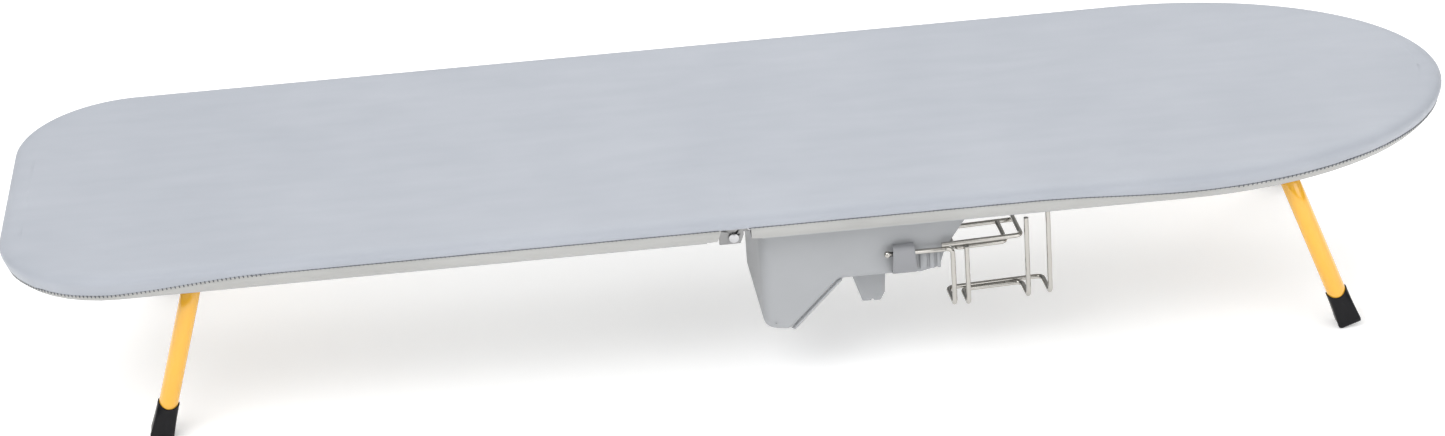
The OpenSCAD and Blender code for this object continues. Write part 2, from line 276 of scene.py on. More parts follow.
def metal(name, color, rough, brushed=0.0):
    """Bare or plated metal with fine streaks."""
    n = Nodes(name, color, rough, 1.0)
    streaks = n.noise(160, 2, (0.15, 1.0, 1.0)) if brushed else n.noise(90, 3)
    n.roughen(streaks, rough * 0.7, rough * 1.4)
    n.tint(n.noise(30, 3), tuple(c * 0.9 for c in color), color)
    n.bump(streaks, 0.05 + brushed * 0.1, 0.1)
    return n.material


def moulded(name, color, rough, grain=0.12, gloss=0.4):
    """Moulded plastic or rubber with a fine even grain."""
    n = Nodes(name, color, rough)
    n.tint(n.noise(18, 3), tuple(c * 0.94 for c in color), color)
    n.roughen(n.noise(70, 3), rough * 0.9, rough * 1.12)
    n.bump(n.noise(900, 2), grain, 0.15)
    n.set("Specular IOR Level", gloss)
    return n.material


def felt(name, dark, light):
    n = Nodes(name, light, 0.95)
    n.tint(n.noise(120, 6), dark, light)
    n.bump(n.noise(500, 4), 0.5, 0.5)
    n.set("Sheen Weight", 0.3)
    return n.material


COVER = cloth_material("cover_cloth", (0.365, 0.388, 0.432), (0.412, 0.434, 0.478), 0.5, 0.12)
BAND = cloth_material("band_cloth", (0.39, 0.39, 0.38), (0.47, 0.47, 0.458), 0.6, 0.15)
THREAD = cloth_material("seam_thread", (0.10, 0.11, 0.12), (0.16, 0.17, 0.19), 0.8, 0.1)
FELT = felt("pad_felt", (0.55, 0.53, 0.48), (0.68, 0.66, 0.6))
YELLOW = painted("yellow_enamel", (0.86, 0.44, 0.025), 0.2, coat=0.8)
FRAME_PAINT = painted("frame_paint", (0.42, 0.43, 0.44), 0.4)
MESH_PAINT = painted("mesh_paint", (0.50, 0.51, 0.52), 0.45)
HINGE = metal("hinge_steel", (0.30, 0.30, 0.30), 0.38, 0.6)
RIVET = metal("rivet_steel", (0.52, 0.52, 0.53), 0.16)
CHROME = metal("rack_chrome", (0.50, 0.485, 0.455), 0.08)
GREY_PLASTIC = moulded("holster_plastic", (0.37, 0.38, 0.395), 0.5)
SLEEVE_PLASTIC = moulded("sleeve_plastic", (0.27, 0.275, 0.29), 0.42)
RUBBER = moulded("foot_rubber", (0.006, 0.006, 0.0075), 0.3, 0.1, 0.2)

SLOTS = {
    "cover_cloth": COVER, "band_cloth": BAND, "pad_foam": FELT, "mesh_steel": MESH_PAINT,
    "frame_paint": FRAME_PAINT, "hinge_metal": HINGE, "rivet_metal": RIVET, "leg_paint": YELLOW,
    "foot_rubber": RUBBER, "holster_plastic": GREY_PLASTIC, "sleeve_plastic": SLEEVE_PLASTIC,
    "rack_chrome": CHROME,
}


def finish_cad_nodes():
    """Gives each CAD node its material, softened edges and smooth round faces."""
    for row in frame["record"]["subparts"]:
        obj = frame["nodes"][row["node"]]
        obj.data.materials.clear()
        obj.data.materials.append(SLOTS[row["material_slot"]])
        for polygon in obj.data.polygons:
            polygon.material_index = 0
            polygon.use_smooth = True
        weld = obj.modifiers.new("weld", "WELD")
        weld.merge_threshold = 0.01 * MM
        width = 0.9 if row["material_slot"] == "holster_plastic" else 0.4
        if row["material_slot"] not in ("rack_chrome", "leg_paint"):
            bevel = obj.modifiers.new("soft_edges", "BEVEL")
            bevel.width = width * MM
            bevel.segments = 2
            bevel.limit_method = "ANGLE"
            bevel.angle_limit = math.radians(35)
            bevel.harden_normals = True
        else:
            split = obj.modifiers.new("hard_edges", "EDGE_SPLIT")
            split.split_angle = math.radians(40)


# ---------------------------------------------------------------- the board's outline


def spread(a, b, step):
    """Evenly spaced values from a to b, without b."""
    count = max(1, round(abs(b - a) / step))
    return [a + (b - a) * i / count for i in range(count)]


def stations(half, start_x, step=5.0):
    """Places round one half from the fold's front corner to its back corner: each gives (kind, value)."""
    if half == "tail":
        straight = [("side", x) for x in spread(start_x, CORNER_R - HALF_L, step)]
        turn = [("turn", a) for a in spread(0, 90, step / CORNER_R * 57.3)]
        end = [("end", y) for y in spread(CORNER_R - HALF_W, 0, step / 2 if step == 5.0 else step)]
        front = straight + turn + end
        middle = ("end", 0.0)
    else:
        straight = [("side", x) for x in spread(start_x, HALF_L - NOSE_L, step)]
        turn = [("turn", a) for a in spread(0, 90, step / 210 * 57.3)]
        front = straight + turn
        middle = ("turn", 90.0)
    return front, middle


def at_station(half, place, inset):
    """The front point (x, y) of a station on the outline pulled in by inset."""
    kind, value = place
    if kind == "side":
        return value, inset - HALF_W
    if half == "tail":
        if kind == "end":
            return inset - HALF_L, value
        r, a = CORNER_R - inset, math.radians(value)
        return CORNER_R - HALF_L - r * math.sin(a), CORNER_R - HALF_W - r * math.cos(a)
    a = math.radians(value)
    return HALF_L - NOSE_L + (NOSE_L - inset) * math.sin(a), (inset - HALF_W) * math.cos(a)


def outline(half, start_x, inset, step=5.0):
    """The whole open outline of a half, front corner to back corner."""
    front, middle = stations(half, start_x, step)
    points = [at_station(half, s, inset) for s in front]
    back = [(x, -y) for x, y in reversed(points)]
    return points + [at_station(half, middle, inset)] + back


def along(half, start_x, step=5.0):
    """Distance from the fold at each point of the outline."""
    points = outline(half, start_x, 0, step)
    total, out = 0.0, []
    for i, p in enumerate(points):
        if i:
            total += math.dist(p, points[i - 1])
        out.append(total)
    return out


# ---------------------------------------------------------------- cover


# Side of the covered board from the turned-in hem up to the flat top: (inset, height over the edge)
SIDE = [(25.0, 2.3), (25.6, 1.6), (25.0, 0.9), (21.0, 0.3), (16.5, 0.0), (13.0, 0.15), (10.4, 0.8),
        (8.2, 2.2), (6.3, 4.2), (4.6, 6.4), (3.2, 8.7), (2.1, 11.2), (1.2, 13.8), (0.4, 16.2),
        (0.0, 18.6), (0.5, 20.4), (1.8, 22.0), (3.8, 23.2), (6.4, 24.1), (9.6, 24.7), (13.5, 24.95),
        (19.0, 25.0)]


def smooth(t):
    t = min(1.0, max(0.0, t))
    return t * t * (3 - 2 * t)


def profile_at(t):
    """(inset, height) at a place along SIDE, counted in its points."""
    i = min(int(t), len(SIDE) - 2)
    share = t - i
    return tuple(a + (b - a) * share for a, b in zip(SIDE[i], SIDE[i + 1]))


def seam_place(half, x):
    """Where along SIDE the seam runs: high on the straight sides, low round the tail and the nose."""
    if half == "tail":
        return 12.6 - 3.3 * smooth((-385 - x) / 130)
    return 12.6 - 2.2 * smooth((x - 230) / 130)


def gather(half, s, total):
    """How much the cloth is gathered: most at the tail's two corners and round the nose."""
    from_end = min(s, total - s)
    if half == "tail":
        return math.exp(-((from_end - 560) / 70) ** 2)
    return 0.55 * min(1.0, max(0.0, (from_end - 360) / 150))


def crease(x, y, cx, cy, length, width, angle):
    """A soft ridge of height 1 centred on (cx, cy)."""
    a = math.radians(angle)
    u = (x - cx) * math.cos(a) + (y - cy) * math.sin(a)
    v = (y - cy) * math.cos(a) - (x - cx) * math.sin(a)
    return math.exp(-(u / length) ** 2 - (v / width) ** 2)


# Small creases in the top cloth: centre, length, width, angle and height
CREASES = [
    (268, -150, 22, 3.2, 62, 0.9), (292, -146, 26, 3.4, 70, -0.8), (318, -148, 24, 3.0, 58, 1.0),
    (345, -144, 28, 3.6, 66, -0.9), (372, -141, 24, 3.2, 60, 0.9), (398, -136, 22, 3.0, 52, -0.7),
    (330, -128, 40, 4.5, 8, 0.45), (-30, -150, 20, 3.0, 74, 0.7), (-52, -146, 24, 3.4, 82, -0.6),
    (24, -150, 22, 3.0, 100, 0.7), (48, -148, 24, 3.4, 108, -0.5), (-9, -148, 26, 3.6, 90, -0.6),
    (-520, -120, 30, 4.0, 40, 0.4), (480, 60, 60, 6.0, 20, 0.3), (-300, 80, 90, 8.0, 5, 0.25),
]


def top_lift(x, y):
    """Height of the cloth's unevenness over the flat top."""
    lift = 0.28 * ripple(x / 150, y / 110, 0.0, 3.1) + 0.12 * ripple(x / 38, y / 30, 0.0, 7.7)
    for cx, cy, length, width, angle, height in CREASES:
        lift += height * crease(x, y, cx, cy, length, width, angle)
    return lift - 0.25


def outward_at(half, start):
    """Unit vectors pointing out of the board at each outline point."""
    ring, inner = outline(half, start, 0), outline(half, start, 1)
    return [Vector((a[0] - b[0], a[1] - b[1], 0)) for a, b in zip(ring, inner)]


def side_rings(half, start, places, sag):
    """Rings of points round the board. places gives, for each x, the ring's place along SIDE."""
    base = outline(half, start, 0)
    out = outward_at(half, start)
    distance = along(half, start)
    total = distance[-1]
    rings = []
    for place in places:
        ring = []
        for (x, y), way, s in zip(base, out, distance):
            inset, height = profile_at(place(x))
            pull = gather(half, s, total)
            seam = seam_place(half, x)
            near = math.exp(-((place(x) - seam) / 2.2) ** 2)
            pucker = 1.1 * pull * abs(ripple(s / 4.5, 0.0, 0.0, 1.0))
            wave = 0.35 * abs(ripple(s / 38, 0, 0, 5.0))
            tuck = near * (pucker + wave)
            groove = 0.55 * math.exp(-((place(x) - seam) / 0.5) ** 2)
            lift = top_lift(x, y) * smooth((place(x) - 15) / 5)
            ring.append(Vector((x, y, EDGE_Z + height + lift)) - way * (inset + tuck * sag + groove))
        rings.append(ring)
    return rings


def cover_top(half):
    """The top panel of one half: rings from the seam up the side, then rows from the front to the back."""
    front = stations(half, FOLD_X)[0]
    # The tail's last row is its straight end, so a row has as many points as that end
    ends = [i for i, place in enumerate(front) if place[0] == "end"]
    rows_across = 2 * len(ends) if ends else 64
    steps = 16
    last_place = len(SIDE) - 1

    def place(share):
        return lambda x: seam_place(half, x) + (last_place - seam_place(half, x)) * share

    rings = side_rings(half, FOLD_X, [place(k / steps) for k in range(steps + 1)], 1.0)
    verts = [v for ring in rings for v in ring]
    ring_size = len(rings[0])
    faces = strip_faces(len(rings), ring_size)
    last = (len(rings) - 1) * ring_size
    grid = []
    for i in range(ends[0] if ends else len(front)):
        x, y = verts[last + i].x, verts[last + i].y
        row = [last + i]
        for j in range(1, rows_across):
            yy = y - 2 * y * j / rows_across
            row.append(len(verts))
            verts.append(Vector((x, yy, TOP_Z + top_lift(x, yy))))
        row.append(last + ring_size - 1 - i)
        grid.append(row)
    if ends:
        grid.append([last + ends[0] + j for j in range(rows_across + 1)])
    for a, b in zip(grid, grid[1:]):
        for j in range(rows_across):
            faces.append((a[j], b[j], b[j + 1], a[j + 1]))
    if not ends:
        tip = last + len(front)
        faces += [(grid[-1][j], tip, grid[-1][j + 1]) for j in range(rows_across)]
    obj = mesh_object(half + "_cover_cloth", verts, faces, COVER)
    tidy_normals(obj, Vector((0, 0, 1)))
    solidify(obj, 0.7)
    apply_modifiers(obj)
    obj.data.set_sharp_from_angle(angle=math.radians(60))
    return obj


def tidy_normals(obj, outward):
    """Turns every face the same way, with the largest ones facing outward."""
    bm = bmesh.new()
    bm.from_mesh(obj.data)
    bmesh.ops.remove_doubles(bm, verts=bm.verts, dist=0.02 * MM)
    bmesh.ops.recalc_face_normals(bm, faces=bm.faces)
    total = sum((f.normal * f.calc_area() for f in bm.faces), Vector())
    if total.dot(outward) < 0:
        bmesh.ops.reverse_faces(bm, faces=bm.faces)
    bm.to_mesh(obj.data)
    bm.free()


def cover_band(half):
    """The side band of one half, with its hem turned in under the rim, open at the notch over the fold."""
    start = TAIL_PIN_X if half == "tail" else NOSE_PIN_X
    slant = 3.5 if half == "tail" else -0.5
    steps = 14
    distance = along(half, start)
    total = distance[-1]

    def place(share):
        return lambda x: seam_place(half, x) * (1 - share)

    rings = side_rings(half, start, [place(k / steps) for k in range(steps + 1)], 1.4)
    for ring in rings:
        for v, s in zip(ring, distance):
            near = max(0.0, 1 - min(s, total - s) / 14)
            v.x += slant * near * max(0.0, v.z - EDGE_Z) / 14
            v.y -= math.copysign(1.2 * near * near, v.y)
    verts = [v for ring in rings for v in ring]
    obj = mesh_object(half + "_side_band", verts, strip_faces(len(rings), len(distance)), BAND)
    tidy_normals(obj, Vector((0, 0, -1)))
    check_outward(obj)
    solidify(obj, 0.7)
    apply_modifiers(obj)
    obj.data.set_sharp_from_angle(angle=math.radians(60))
    return obj


def check_outward(obj):
    """Flips the faces if those of the front side look inwards."""
    total = 0.0
    for polygon in obj.data.polygons:
        if polygon.center.y < -0.94 * HALF_W * MM:
            total += polygon.normal.y * polygon.area
    if total > 0:
        obj.data.flip_normals()


def seam_line(half, start, step):
    """Points of the seam on the cover's surface, with the way out of the board."""
    base, inner = outline(half, start, 0, step), outline(half, start, 1, step)
    points = []
    for a, b in zip(base, inner):
        inset, height = profile_at(seam_place(half, a[0]))
        way = Vector((a[0] - b[0], a[1] - b[1], 0))
        points.append((Vector((a[0], a[1], EDGE_Z + height)) - way * (inset + 0.35), way))
    return points


def seam_thread(half):
    """Overlock thread: a pale cord in the seam with dark stitches across it."""
    start = TAIL_PIN_X + 2 if half == "tail" else NOSE_PIN_X - 1
    points = seam_line(half, start, 1.7)
    lower = [p - Vector((0, 0, 0.5)) - way * 0.25 for p, way in points]
    cord = tube(half + "_seam_cord", lower, 0.6, BAND, sides=6)
    verts, faces = [], []
    for i in range(1, len(points) - 1):
        p, way = points[i]
        ahead = (points[i + 1][0] - points[i - 1][0]).normalized()
        if i % 2:
            continue
        open_stitch = abs(p.x) > (385 if half == "tail" else 395)
        slope, wide = (1.5, 1.9) if open_stitch else (0.7, 1.0)
        top = p + Vector((0, 0, slope)) - way * 0.1 + ahead * 0.5
        low = p - Vector((0, 0, slope * 0.8)) + way * 0.1
        base = len(verts)
        for point in (low, top):
            for du, dv in ((-0.28, -0.5), (0.28, -0.5), (0.28, 0.35), (-0.28, 0.35)):
                verts.append(point + ahead * du * wide + way * dv)
        faces += [(base + k, base + (k + 1) % 4, base + 4 + (k + 1) % 4, base + 4 + k) for k in range(4)]
        faces += [(base + 3, base + 2, base + 1, base), (base + 4, base + 5, base + 6, base + 7)]
    stitches = mesh_object(half + "_seam_stitches", verts, faces, THREAD)
    pieces = [cord, stitches]
    for word, side in (("front", FRONT), ("back", BACK)):
        run = [p + way * 0.05 for p, way in points if p.y * side > 0 and (half == "nose" or p.x > -395)]
        pieces.append(tube(f"{half}_seam_line_{word}", run, 0.3, THREAD, sides=6))
    return pieces


def felt_pad(half):
    """The felt pad under the cloth, with rounded edges, ending where the fold needs room."""
    low, high = mm_box(half + "_pad")
    start = high.x - 1 if half == "tail" else low.x + 1
    profile = [(12.0, 18.7), (4.4, 18.8), (3.4, 19.2), (3.6, 20.0), (5.0, 21.0), (8.0, 21.8),
               (12.0, 22.3), (18.0, 22.5)]
    ring_size = len(outline(half, start, 0))
    verts = []
    for inset, height in profile:
        for x, y in outline(half, start, inset):
            if abs(x - FOLD_X) < FOLD_REACH:
                y = math.copysign(min(abs(y), FOLD_HALF_W - max(0.0, inset - 4)), y)
            verts.append(Vector((x, y, EDGE_Z + height)))
    faces = strip_faces(len(profile), ring_size)
    for base in (0, (len(profile) - 1) * ring_size):
        for i in range(ring_size // 2):
            quad = (base + i, base + i + 1, base + ring_size - 2 - i, base + ring_size - 1 - i)
            faces.append(quad if len(set(quad)) == 4 else tuple(dict.fromkeys(quad)))
    end = [k * ring_size for k in range(len(profile))]
    far = [k * ring_size + ring_size - 1 for k in range(len(profile))]
    for k in range(len(profile) - 1):
        faces.append((end[k], end[k + 1], far[k + 1], far[k]))
    faces.append((end[0], far[0], far[-1], end[-1]))
    obj = mesh_object(half + "_felt_pad", verts, [f for f in faces if len(set(f)) > 2], FELT)
    tidy_normals(obj, Vector((0, 0, 0.0001)))
    return obj


# ---------------------------------------------------------------- mesh deck


def deck_half_width(half, x, inset):
    """Half the width of the board at x, pulled in by inset."""
    hw = HALF_W - inset
    if half == "tail":
        centre = CORNER_R - HALF_L
        if x > centre:
            return hw
        r = CORNER_R - inset
        return HALF_W - CORNER_R + math.sqrt(max(0.0, r * r - (centre - x) ** 2))
    centre = HALF_L - NOSE_L
    if x < centre:
        return hw
    share = min(1.0, (x - centre) / (NOSE_L - inset))
    return hw * math.sqrt(1 - share * share)


def expanded_mesh(half):
    """The steel deck: a net of small diamonds with a plain border."""
    low, high = mm_box(half + "_mesh")
    pitch_x, pitch_y = 12.0, 7.0
    inset = RIM_INSET + 6
    x0, x1 = low.x + 5, high.x - 5
    z = (low.z + high.z) / 2
    verts, edges, index = [], [], {}

    def vertex(x, y):
        key = (round(x, 2), round(y, 2))
        if key not in index:
            index[key] = len(verts)
            verts.append(Vector((x, y, z)) * MM)
        return index[key]

    def clipped(x, y):
        x = min(max(x, x0), x1)
        w = deck_half_width(half, x, inset)
        if abs(x - FOLD_X) < FOLD_REACH:
            w = min(w, FOLD_HALF_W)
        return x, min(max(y, -w), w)

    columns = int((x1 - x0) / pitch_x * 2) + 2
    rows = int(2 * HALF_W / pitch_y * 2) + 2
    for i in range(columns):
        for j in range(rows):
            if (i + j) % 2:
                continue
            for dj in (-1, 1):
                a = (x0 + i * pitch_x / 2, -HALF_W + j * pitch_y / 2)
                b = (a[0] + pitch_x / 2, a[1] + dj * pitch_y / 2)
                a, b = clipped(*a), clipped(*b)
                if math.dist(a, b) > 1.5 and abs(a[1] - b[1]) > 0.5:
                    edges.append((vertex(*a), vertex(*b)))
    verts_out, faces = [], []
    half_wire = 0.75 * MM
    for a, b in edges:
        p, q = verts[a], verts[b]
        way = (q - p).normalized()
        side = Vector((-way.y, way.x, 0)) * half_wire
        up = Vector((0, 0, half_wire * 0.85))
        base = len(verts_out)
        for point in (p, q):
            verts_out += [(point + side + up) / MM, (point - side + up) / MM, (point - side - up) / MM,
                          (point + side - up) / MM]
        faces += [(base + k, base + (k + 1) % 4, base + 4 + (k + 1) % 4, base + 4 + k) for k in range(4)]
        faces += [(base + 3, base + 2, base + 1, base), (base + 4, base + 5, base + 6, base + 7)]
    # Plain border that lies on the rim
    start = FOLD_X + (-FOLD_REACH if half == "tail" else FOLD_REACH)
    outer = outline(half, start, RIM_INSET + 1)
    inner = outline(half, start, inset + 1)
    count = len(outer)
    base = len(verts_out)
    bottom, top = low.z + 0.1, high.z - 0.1
    for ring, level in ((outer, bottom), (inner, bottom), (inner, top), (outer, top)):
        verts_out += [Vector((x, y, level)) for x, y in ring]
    for k in range(4):
        m = (k + 1) % 4
        here, there = base + k * count, base + m * count
        faces += [(here + i, here + i + 1, there + i + 1, there + i) for i in range(count - 1)]
    faces.append(tuple(base + k * count for k in range(4)))
    faces.append(tuple(base + k * count + count - 1 for k in (3, 2, 1, 0)))
    obj = mesh_object(half + "_deck_net", verts_out, faces, MESH_PAINT, smooth=False)
    return obj


# ---------------------------------------------------------------- feet


def rubber_foot(half, side):
    """A rubber ferrule: round and saddle-rimmed where the tube enters, square and flat where it stands."""
    sign = -1 if half == "tail" else 1
    pivot = Vector((sign * LEG_X, side * LEG_Y, EDGE_Z + 5))
    splay = math.radians(LEG_SPLAY[half])
    length = (pivot.z + 1 - 10 * math.sin(splay)) / math.cos(splay)
    down = Vector((sign * math.sin(splay), 0, -math.cos(splay)))
    out = Vector((sign * math.cos(splay), 0, math.sin(splay)))
    back = Vector((0, 1, 0))
    end = pivot + down * length
    steps, sides = 22, 64
    verts = []

    def rim_at(a):
        """Height of the saddle-shaped rim in direction a."""
        return FOOT_H - 3.6 * math.sin(a) ** 2

    def section(t, a):
        """Radius at height t, from 0 at the sole to 1 at the rim, in direction a."""
        power = 2 + 16 * (1 - t) ** 1.6
        half_width = 9.95 - 1.0 * t - 0.35 * math.sin(math.pi * t)
        c, s = abs(math.cos(a)), abs(math.sin(a))
        return half_width / (c ** power + s ** power) ** (1 / power)

    for i in range(steps + 1):
        t = i / steps
        for k in range(sides):
            a = 2 * math.pi * k / sides
            h = t * rim_at(a)
            r = section(t, a)
            # A shallow triangular hollow in each face, wide at the sole, that stays outside the tube
            face = abs(((a + math.pi / 4) % (math.pi / 2)) - math.pi / 4)
            across = max(0.0, 1 - face / max(0.05, 0.62 * (1 - t) + 0.02))
            hollow = across * math.sin(math.pi * min(1.0, t * 1.15)) * 2.0
            if t < 0.06:
                r -= 0.8 * (1 - t / 0.06)
            r = max(r - min(hollow, 1.3), 8.35)
            point = end - down * h + (math.cos(a) * out + math.sin(a) * back) * r
            point.z = max(point.z, 0.0)
            verts.append(point)
    for r_lip, drop in ((8.6, -0.4), (8.15, 0.2), (8.02, 3.0)):
        for k in range(sides):
            a = 2 * math.pi * k / sides
            verts.append(end - down * (rim_at(a) - drop) + (math.cos(a) * out + math.sin(a) * back) * r_lip)
    faces = strip_faces(steps + 4, sides, wrap=True)
    faces.append(tuple(reversed(range(sides))))
    top = (steps + 3) * sides
    faces.append(tuple(top + k for k in range(sides)))
    name = f"{half}_rubber_{'front' if side == FRONT else 'back'}"
    obj = mesh_object(name, verts, faces, RUBBER)
    tidy_normals(obj, Vector((0, 0, -0.0001)))
    return obj


# ---------------------------------------------------------------- holster, clip and rivets


def rounded_path(points, radii):
    """A polyline with its corners rounded, as points about 6 mm apart or closer."""
    out = []
    for i, p in enumerate(points):
        p = Vector(p)
        r = radii[i]
        if not r:
            out.append(p)
            continue
        a, b = Vector(points[i - 1]) - p, Vector(points[i + 1]) - p
        half_turn = a.angle(b) / 2
        cut_back = min(r / math.tan(half_turn), 0.48 * min(a.length, b.length))
        start, end = p + a.normalized() * cut_back, p + b.normalized() * cut_back
        for k in range(9):
            t = k / 8
            out.append(start * (1 - t) ** 2 + p * 2 * t * (1 - t) + end * t ** 2)
    dense = []
    for a, b in zip(out, out[1:]):
        parts = max(1, round((b - a).length / 6))
        for k in range(parts):
            dense.append(a + (b - a) * k / parts)
    return dense + [out[-1]]


def holster_shell():
    """The moulded tub: two walls and the floor between them, with rounded edges and an open mouth."""
    low = mm_box("holster_tub")[0]
    front_y, back_y = low.y, low.y + HOLSTER_DEPTH
    left = low.x + 5.5
    points = [(left, 14), (left, -91), (32, -91), (73.5, -49.5), (139.5, -49.5), (155.5, -46), (159.5, -33.5),
              (165.5, -23.3), (178, -5.7), (180, 11.5)]
    radii = [0, 17, 9, 12, 0, 3, 8, 12, 10, 0]
    path = rounded_path(points, radii)
    count = len(path)
    edge_radius = []
    for i, p in enumerate(path):
        if p.x < left + 14 and p.y > -80:
            edge_radius.append(10.0)
        elif p.x < 34:
            edge_radius.append(10.0 - 6.5 * smooth((p.x - left) / 20))
        elif p.x < 139:
            edge_radius.append(3.0)
        else:
            edge_radius.append(0.0)

    def inward(i):
        a, b = path[max(0, i - 1)], path[min(count - 1, i + 1)]
        way = (b - a).normalized()
        return Vector((-way.y, way.x))

    def point(i, turn, front):
        """turn is 0 on the flat wall and 90 degrees where the edge meets the floor."""
        r = edge_radius[i]
        d = r * (1 - math.sin(turn))
        depth = r * (1 - math.cos(turn))
        p = path[i] + inward(i) * d
        y = front_y + depth if front else back_y - depth
        lean = 5.5 * (y - front_y) / (back_y - front_y) * max(0.0, min(1.0, (36 - p.x) / 24))
        return Vector((p.x - lean, y, EDGE_Z + min(p.y, 14)))

    turns = [math.pi / 2 * k / 7 for k in range(8)]
    floor_end = max(i for i, p in enumerate(path) if p.x <= 139.6 and p.y < -40)
    rings = [[point(i, t, True) for i in range(count)] for t in turns]
    spans = 14
    first, last = rings[-1], [point(i, math.pi / 2, False) for i in range(count)]
    middle = [[a.lerp(b, k / spans) for a, b in zip(first, last)] for k in range(1, spans)]
    rings += middle + [[point(i, t, False) for i in range(count)] for t in reversed(turns)]
    verts = [v for ring in rings for v in ring]
    faces = []
    for r in range(len(rings) - 1):
        for i in range(floor_end):
            a = r * count + i
            faces.append((a, a + 1, a + count + 1, a + count))
    faces.append(tuple(range(count - 1, -1, -1)))
    base = (len(rings) - 1) * count
    faces.append(tuple(base + i for i in range(count)))
    obj = mesh_object("holster_shell", verts, faces, GREY_PLASTIC)
    bm = bmesh.new()
    bm.from_mesh(obj.data)
    bmesh.ops.remove_doubles(bm, verts=bm.verts, dist=0.01 * MM)
    bmesh.ops.delete(bm, geom=[v for v in bm.verts if not v.link_faces], context="VERTS")
    bmesh.ops.recalc_face_normals(bm, faces=bm.faces)
    front_faces = [f for f in bm.faces if f.calc_center_median().y < (front_y + 0.5) * MM]
    facing = sum(f.normal.y * f.calc_area() for f in front_faces)
    if facing > 0:
        bmesh.ops.reverse_faces(bm, faces=bm.faces)
    bm.to_mesh(obj.data)
    bm.free()
    solidify(obj, 2.4)
    apply_modifiers(obj)
    obj.data.set_sharp_from_angle(angle=math.radians(38))
    return obj


def holster_trim():
    """Flanges along the top and the lip along the slope."""
    low, high = mm_box("holster_tub")
    pieces = []
    for name, y0, y1 in (("holster_flange_front", low.y + 2.4, low.y + 18),
                         ("holster_flange_back", -36.4, high.y)):
        z0 = EDGE_Z + 11.5
        pieces.append(rounded_block(name, (11, y0, z0), (180, y1, z0 + 2.5), 0.8, GREY_PLASTIC))
    lip = [(34.5, -90.6), (75.2, -49.9)]
    path = [Vector((x, low.y - 0.1, EDGE_Z + z)) for x, z in lip]
    bead = [path[0].lerp(path[1], k / 10) for k in range(11)]
    pieces.append(tube("holster_bead", bead, 0.9, GREY_PLASTIC, 10))
    return pieces


def rounded_block(name, low, high, radius, material):
    """A box with rounded edges."""
    x0, y0, z0 = low
    x1, y1, z1 = high
    verts = [(x, y, z) for x in (x0, x1) for y in (y0, y1) for z in (z0, z1)]
    faces = [(0, 1, 3, 2), (4, 6, 7, 5), (0, 4, 5, 1), (2, 3, 7, 6), (0, 2, 6, 4), (1, 5, 7, 3)]
    obj = mesh_object(name, verts, faces, material)
    bevel = obj.modifiers.new("round", "BEVEL")
    bevel.width = radius * MM
    bevel.segments = 3
    apply_modifiers(obj)
    obj.data.set_sharp_from_angle(angle=math.radians(50))
    return obj


def rack_clip():
    """A moulded strip that wraps over the hinge wire and runs down the wall, wider towards its foot."""
    low, high = mm_box("rack_sleeve")
    wire_y, wire_z = -162.5, 113.8
    around = [(high.y, high.z - 0.6), (wire_y + 2.0, high.z - 0.2)]
    for k in range(9):
        a = math.radians(80 + 100 * k / 8)
        around.append((wire_y + 4.2 * math.cos(a), wire_z + 2.4 + 4.2 * math.sin(a)))
    around += [(wire_y - 4.2, wire_z - 4), (wire_y - 4.0, wire_z - 9), (wire_y - 2.6, wire_z - 14),
               (wire_y - 0.6, low.z + 2.5), (high.y - 3.6, low.z + 0.8), (high.y, low.z + 0.6)]
    columns = 13
    verts = []
    for y, z in around:
        drop = (high.z - z) / (high.z - low.z)
        x0, x1 = low.x + 0.8 - 1.2 * drop, high.x - 1.2 + 2.0 * drop
        for c in range(columns):
            t = c / (columns - 1)
            round_off = 0.7 * (abs(2 * t - 1)) ** 6
            verts.append(Vector((x0 + (x1 - x0) * t, y + round_off, z - 0.3 * round_off)))
    obj = mesh_object("rack_clip", verts, strip_faces(len(around), columns), SLEEVE_PLASTIC)
    bm = bmesh.new()
    bm.from_mesh(obj.data)
    facing = sum(f.normal.y * f.calc_area() for f in bm.faces)
    if facing > 0:
        bmesh.ops.reverse_faces(bm, faces=bm.faces)
    bm.to_mesh(obj.data)
    bm.free()
    solidify(obj, 1.7)
    sub = obj.modifiers.new("smooth", "SUBSURF")
    sub.levels = sub.render_levels = 1
    apply_modifiers(obj)
    obj.data.set_sharp_from_angle(angle=math.radians(45))
    return obj


def rivet(half, side):
    """A turned rivet: shank and domed head with a hollow in it."""
    low, high = mm_box(f"{half}_fold_pin_{'front' if side == FRONT else 'back'}")
    x, z = (low.x + high.x) / 2, (low.z + high.z) / 2
    inner, outer = (high.y, low.y) if side == FRONT else (low.y, high.y)
    reach = abs(outer - inner)
    profile = [(0, 0), (2.45, 0), (2.45, reach - 2.0), (4.35, reach - 1.9), (4.4, reach - 1.3),
               (3.9, reach - 0.4), (3.1, reach), (2.5, reach - 0.05), (2.0, reach - 0.6), (1.2, reach - 1.0),
               (0, reach - 1.1)]
    sides = 32
    verts = []
    for r, along_pin in profile:
        for k in range(sides):
            a = 2 * math.pi * k / sides
            verts.append(Vector((x + r * math.cos(a), inner + side * along_pin, z + r * math.sin(a))))
    obj = mesh_object(f"{half}_rivet_{'front' if side == FRONT else 'back'}", verts,
                      strip_faces(len(profile), sides, wrap=True), RIVET)
    tidy_normals(obj, Vector((0, side * 0.0001, 0)))
    obj.data.set_sharp_from_angle(angle=math.radians(50))
    return obj


# ---------------------------------------------------------------- stage, lights and camera


